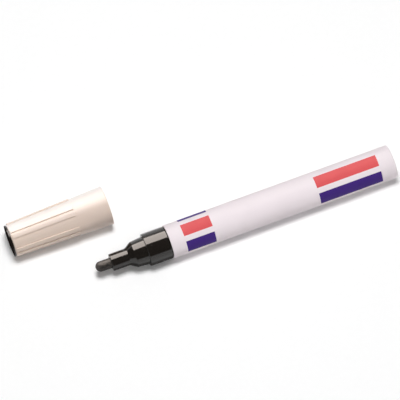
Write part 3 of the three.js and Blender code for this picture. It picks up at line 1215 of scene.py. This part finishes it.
@dataclass(frozen=True)
class Lamp:
    """A rectangular lamp above the table, turned towards the marker.

    Its elevation counts in degrees from the table's far side, and lengths are metres. Where it filled
    the sky at level 1, a white surface would be white. It lights surfaces or, if it is reflected, shows
    in them, and it lights all pieces unless it names some.
    """

    name: str
    elevation: float
    distance: float
    width: float
    height: float
    level: float
    colour: tuple[float, float, float]
    reflected: bool = False
    pieces: tuple[Piece, ...] = ()

    def build(self) -> None:
        """Makes the lamp, which the camera never sees."""
        data = bpy.data.lights.new(self.name, "AREA")
        data.shape = "RECTANGLE"
        data.size = self.width
        data.size_y = self.height
        data.energy = math.pi * self.width * self.height * self.level
        data.color = self.colour
        lamp = aimed(data, 180.0, self.elevation, self.distance, Vector())
        lamp.visible_camera = False
        lamp.visible_glossy = self.reflected
        lamp.visible_diffuse = not self.reflected
        if self.pieces:
            lit = bpy.data.collections.new(self.name + "_lit")
            for piece in self.pieces:
                lit.objects.link(piece)
            lamp.light_linking.receiver_collection = lit


@dataclass(frozen=True)
class Studio:
    """The white table, the lamps and the room's own light.

    Lengths are metres. A lift is the light that the table adds where it is seen: at the object, from
    far_reach on, and in reflections. Level and shines are how bright the room is to lit surfaces and in
    reflections, where it is bright up to horizon_height, a sine. A painted shadow darkens the table's
    colour where the black section's near side mirrors it, and only reflections show it; it ends at
    shade_along in X and at shade_across in Y.
    """

    cap_shell: Piece
    table_size: float = 8.0
    table_colour: Colour = (252, 252, 252)
    table_lift: float = 0.02
    far_lift: float = 0.9
    far_reach: Reach = (0.3, 1.2)
    mirrored_lift: float = 0.15
    # painted shadow: how dark the table's colour is painted, and where, seen only in reflections
    painted_shadow_depth: float = 0.85
    shade_along: Reach = (-0.052, -0.014)
    shade_across: Reach = (-0.0265, -0.012)
    shade_blur: float = 0.007
    room_level: float = 0.13
    room_shine: float = 0.06
    horizon_shine: float = 1.15
    horizon_height: float = 0.24
    horizon_blur: float = 0.2

    def lamps(self) -> list[Lamp]:
        """Returns the lamps: overhead, in front, mirrored in the black pieces, and behind the cap."""
        white = (1.0, 1.0, 1.0)
        warm = (1.0, 0.9, 0.83)
        cool = (0.48, 0.75, 1.0)
        return [
            Lamp("Key", 86.0, 1.2, 0.34, 0.34, 31.5, white),
            Lamp("Front", 114.0, 1.4, 0.8, 0.8, 1.2, white),
            Lamp("Softbox", 49.0, 0.9, 1.6, 0.92, 9.8, warm, reflected=True),
            Lamp("Cap_fill", 16.0, 1.4, 0.9, 0.3, 18.0, cool, pieces=(self.cap_shell,)),
        ]

    def table_look(self) -> bpy.types.Material:
        """Builds the table's material, white where it is seen, with a painted shadow that only
        reflections show.

        Returns:
            The material.
        """
        recipe = Recipe(bpy.data.materials.new("White table"))
        path = recipe.add("LightPath").outputs
        glossy = path["Is Glossy Ray"]
        seen = recipe.math("MAXIMUM", path["Is Camera Ray"], glossy)
        seen = recipe.math("MAXIMUM", seen, path["Is Transmission Ray"])
        place = recipe.place()
        away = recipe.add("VectorMath", place, operation="LENGTH")
        lift = recipe.between(away.outputs["Value"], self.table_lift, self.far_lift, self.far_reach)
        parts = recipe.add("SeparateXYZ", place).outputs
        # painted shadow: a mask that is 1 for reflected rays within the zone beside the black section
        shade = glossy
        for name, rims in (("X", self.shade_along), ("Y", self.shade_across)):
            for rim, blur in zip(rims, (self.shade_blur / 2, -self.shade_blur / 2)):
                inside = recipe.between(parts[name], 0.0, 1.0, (rim - blur, rim + blur))
                shade = recipe.math("MULTIPLY", shade, inside)
        clear = recipe.math("SUBTRACT", glossy, shade)
        mirrored = recipe.math("MULTIPLY", clear, self.mirrored_lift)
        paper = recipe.clouded(recipe.grain(2.0, detail=4.0), self.table_colour, (0.995, 1.0))
        return recipe.dress(
            # painted shadow: the table's colour goes towards black under the mask, seen only in
            # reflections
            Base_Color=recipe.mix(recipe.math("MULTIPLY", shade, self.painted_shadow_depth), paper, BLACK),
            Roughness=0.9,
            Specular_IOR_Level=0.0,
            Emission_Color=WHITE,
            Emission_Strength=recipe.math("ADD", recipe.math("MULTIPLY", seen, lift), mirrored),
        )

    def build_table(self) -> None:
        """Makes the table, which keeps the marker's shadow and is white where it is lit."""
        bpy.ops.mesh.primitive_plane_add(size=self.table_size)
        table = named("table")
        with editing(table):
            bpy.ops.mesh.subdivide(number_cuts=7)
        table.data.materials.append(self.table_look())

    def build_room(self) -> None:
        """Makes the room: white to the camera, dim and even to surfaces, dark above in reflections."""
        recipe = Recipe(bpy.data.worlds.new("Room"), "Background")
        path = recipe.add("LightPath").outputs
        height = recipe.add("SeparateXYZ", recipe.place("Generated")).outputs["Z"]
        rim = [self.horizon_height * (1 + side * self.horizon_blur) for side in (-1, 1)]
        mirrored = recipe.between(height, self.horizon_shine, self.room_shine, rim)
        mirrored.node.interpolation_type = "SMOOTHSTEP"
        shine = recipe.add("Mix", Factor=path["Is Glossy Ray"], A=self.room_level, B=mirrored)
        seen = recipe.add("Mix", Factor=path["Is Camera Ray"], A=shine.outputs["Result"], B=1.0)
        bpy.context.scene.world = recipe.dress(Color=WHITE, Strength=seen.outputs["Result"])

    def build(self) -> None:
        """Makes the table, the lamps and the room."""
        self.build_table()
        for lamp in self.lamps():
            lamp.build()
        self.build_room()
        bpy.context.scene.view_settings.view_transform = "Standard"


def main() -> None:
    """Builds the camera, the marker, its cap and the studio."""
    logging.basicConfig(level=logging.INFO, format="%(message)s")
    View().build()

    barrel_low, barrel_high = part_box("barrel")
    nib_low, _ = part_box("nib")
    seat_low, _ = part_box("valve_seat")
    ball_low, ball_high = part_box("mixing_ball")
    cap_low, cap_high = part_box("cap_shell")
    section_low, section_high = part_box("front_section")

    middle = (barrel_low + barrel_high) / 2
    tip = Vector((nib_low.x, middle.y, middle.z))
    axis = Axis(tip)
    ends = (barrel_low, section_low, section_high, seat_low)
    stations = [(end.x - tip.x) / MILLIMETRE for end in ends]
    barrel_front, nose_front, spigot_rear, seat_front = stations

    Barrel(axis, barrel_front).build()
    FrontSection(axis, nose_front, barrel_front).build()
    valve = Valve(axis, seat_front, spigot_rear)
    valve.build()
    NibUnit(axis, nose_front, valve.seat_rear, valve.retainer_front).build()
    MixingBall(Axis((ball_low + ball_high) / 2)).build()
    cap_shell = Cap(tip, (cap_low.y + cap_high.y) / 2).build()
    Studio(cap_shell).build()


if __name__ == "__main__":
    main()
